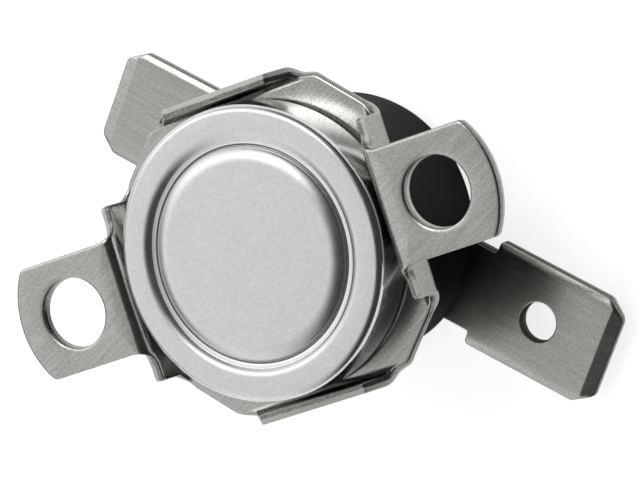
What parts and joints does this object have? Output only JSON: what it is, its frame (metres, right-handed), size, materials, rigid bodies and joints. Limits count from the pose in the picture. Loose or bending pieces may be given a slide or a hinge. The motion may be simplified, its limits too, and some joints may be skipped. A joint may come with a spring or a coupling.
{
  "type": "bimetal thermostat",
  "caption": "Snap-disc bimetal thermostat: round aluminium sensing cap on a black moulded body, with a swivelling bracket with drilled ears and flat quick-connect blades on opposite sides.",
  "frame": {"origin": "on the switch's axis, in the plane that the two rivet heads rest on, which is the centre of the bounding box's bottom", "axes": "+Z along the switch's axis towards the sensing face, +X along the bracket's ears, and the terminals lie at -42.2 degrees from +X and opposite"},
  "size_m": [0.031, 0.026, 0.0131],
  "materials": {
    "drawn_aluminium": "satin, as drawn",
    "plated_steel": "satin plating with a fine grain",
    "black_phenolic": "moulded, slightly glossy",
    "bimetal": "rolled",
    "white_ceramic": "fired, unglazed",
    "brass": "as rolled",
    "spring_copper": "as rolled",
    "contact_silver": "polished"
  },
  "bodies": {
    "switch_body": {"housing": "black_phenolic", "sensing_cap": "drawn_aluminium", "pin_guide": "black_phenolic", "bimetal_disc": "bimetal", "fixed_side_terminal": "plated_steel", "spring_side_terminal": "plated_steel", "fixed_side_rivet": "brass", "spring_side_rivet": "brass", "fixed_side_strip": "brass", "spring_side_strip": "brass", "fixed_contact": "contact_silver"},
    "bracket": {"mounting_bracket": "plated_steel"},
    "push_pin": {"push_pin": "white_ceramic"},
    "contact_arm": {"contact_spring": "spring_copper", "moving_contact": "contact_silver"}
  },
  "joints": [
    {"name": "bracket_swivel", "type": "hinge", "parent": "switch_body", "child": "bracket", "pos_m": [0, 0, 0.00971], "axis": [0, 0, 1], "continuous": true},
    {"name": "pin_slide", "type": "slide", "parent": "switch_body", "child": "push_pin", "axis": [0, 0, -1], "range_m": [0, 0.00036], "stiffness_N_per_m": 300, "springref_m": -0.002, "deforming": ["bimetal_disc"]},
    {"name": "contact_hinge", "type": "hinge", "parent": "switch_body", "child": "contact_arm", "pos_m": [-0.00289, 0.00262, 0.0064], "axis": [0.6717, 0.7408, 0], "range_deg": [0, 5.3]}
  ],
  "couplings": [
    {"joint": "contact_hinge", "follows": "pin_slide", "rad_per_m": 256.4}
  ]
}
